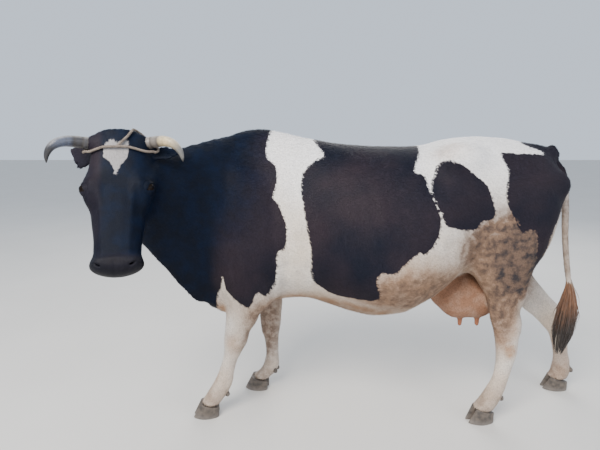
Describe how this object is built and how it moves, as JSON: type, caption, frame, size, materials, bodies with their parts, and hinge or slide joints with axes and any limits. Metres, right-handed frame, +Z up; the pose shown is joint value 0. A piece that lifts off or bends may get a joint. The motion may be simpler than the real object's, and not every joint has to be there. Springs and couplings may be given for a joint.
{
  "type": "cow",
  "caption": "Life-size standing cow, black and white, horned and in milk, with its head turned to its left and a rope round its horns.",
  "frame": {"origin": "on the floor under the middle of the whole cow's bounding box", "axes": "+X from the head towards the tail, +Y to the cow's right, +Z up; the head looks towards -Y"},
  "size_m": [2.4576, 1.0456, 1.4207],
  "materials": {
    "hide": "short flat coat, black and white in patches",
    "udder_skin": "thin bare skin, pinkish brown",
    "switch_hair": "long coarse hair, rust brown to black",
    "horn": "ringed horn, grey with a pale middle",
    "claw": "dark dusty horn",
    "eye": "wet dark eye",
    "rope": "worn grey-brown twisted rope"
  },
  "bodies": {
    "root": {"head": "hide", "neck": "hide", "trunk": "hide", "udder": "udder_skin", "tail": "hide", "tail_switch": "switch_hair", "leg_front_left": "hide", "leg_front_right": "hide", "leg_hind_left": "hide", "leg_hind_right": "hide", "ear_left": "hide", "eye_left": "eye", "horn_left": "horn", "ear_right": "hide", "eye_right": "eye", "horn_right": "horn", "teat_front_left": "udder_skin", "teat_front_right": "udder_skin", "teat_rear_left": "udder_skin", "teat_rear_right": "udder_skin", "claw_front_left_inner": "claw", "dewclaw_front_left_inner": "claw", "claw_front_left_outer": "claw", "dewclaw_front_left_outer": "claw", "claw_front_right_inner": "claw", "dewclaw_front_right_inner": "claw", "claw_front_right_outer": "claw", "dewclaw_front_right_outer": "claw", "claw_hind_left_inner": "claw", "dewclaw_hind_left_inner": "claw", "claw_hind_left_outer": "claw", "dewclaw_hind_left_outer": "claw", "claw_hind_right_inner": "claw", "dewclaw_hind_right_inner": "claw", "claw_hind_right_outer": "claw", "dewclaw_hind_right_outer": "claw", "halter_rope": "rope"}
  },
  "joints": []
}
